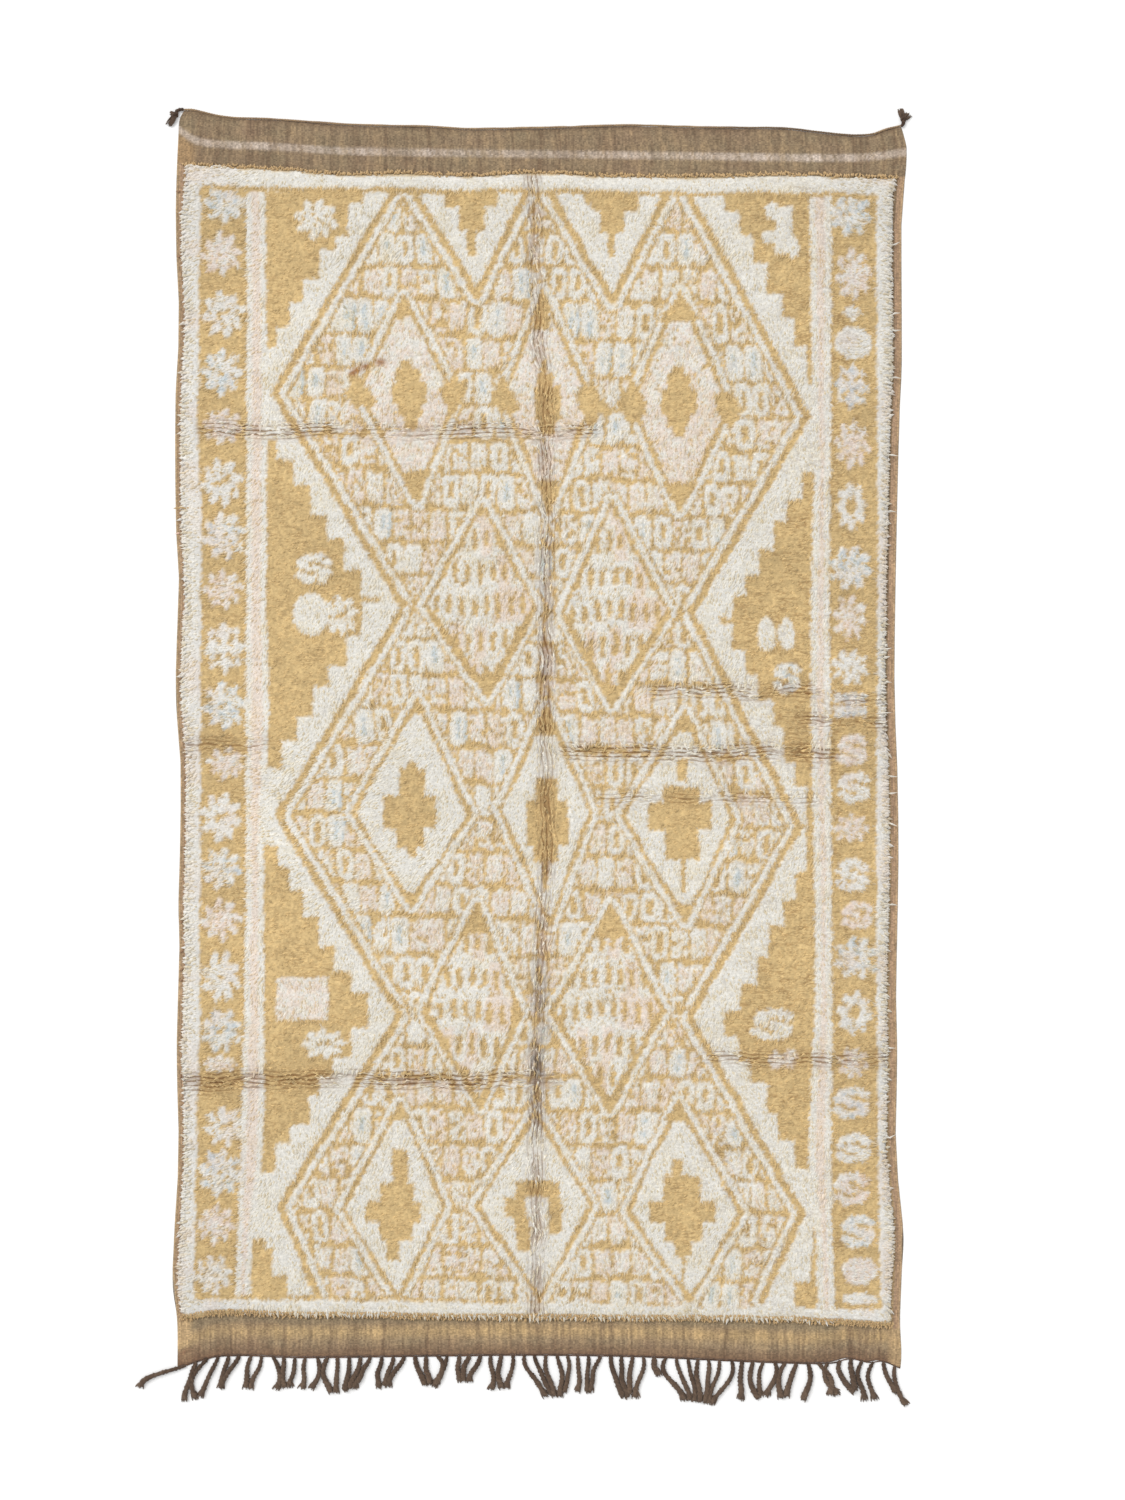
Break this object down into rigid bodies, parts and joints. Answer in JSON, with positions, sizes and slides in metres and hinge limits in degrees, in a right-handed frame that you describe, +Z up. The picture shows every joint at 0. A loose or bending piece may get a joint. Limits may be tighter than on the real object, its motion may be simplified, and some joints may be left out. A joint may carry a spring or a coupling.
{
  "type": "pile rug with kilim ends",
  "caption": "Knotted wool pile rug lying flat, with flat-woven kilim bands, ribbed selvedges, a heading cord with corner braids and a dark warp fringe.",
  "frame": {"origin": "under the middle of the whole rug with its fringe, on the surface that it lies on", "axes": "+X across the rug to the right, +Y along it towards the end with the heading cord, +Z up out of the pile"},
  "size_m": [1.9028, 3.207, 0.0179],
  "materials": {
    "pile_wool": "long soft wool locks, ivory with gold",
    "kilim_wool": "dull flecked flat weave, brown and olive",
    "dark_yarn": "dull twisted goat hair and wool, dark brown"
  },
  "bodies": {
    "root": {"ground_cloth": "kilim_wool", "wool_pile": "pile_wool", "heading_cord": "dark_yarn", "corner_braid_left": "dark_yarn", "corner_braid_right": "dark_yarn", "warp_fringe": "dark_yarn"}
  },
  "joints": []
}
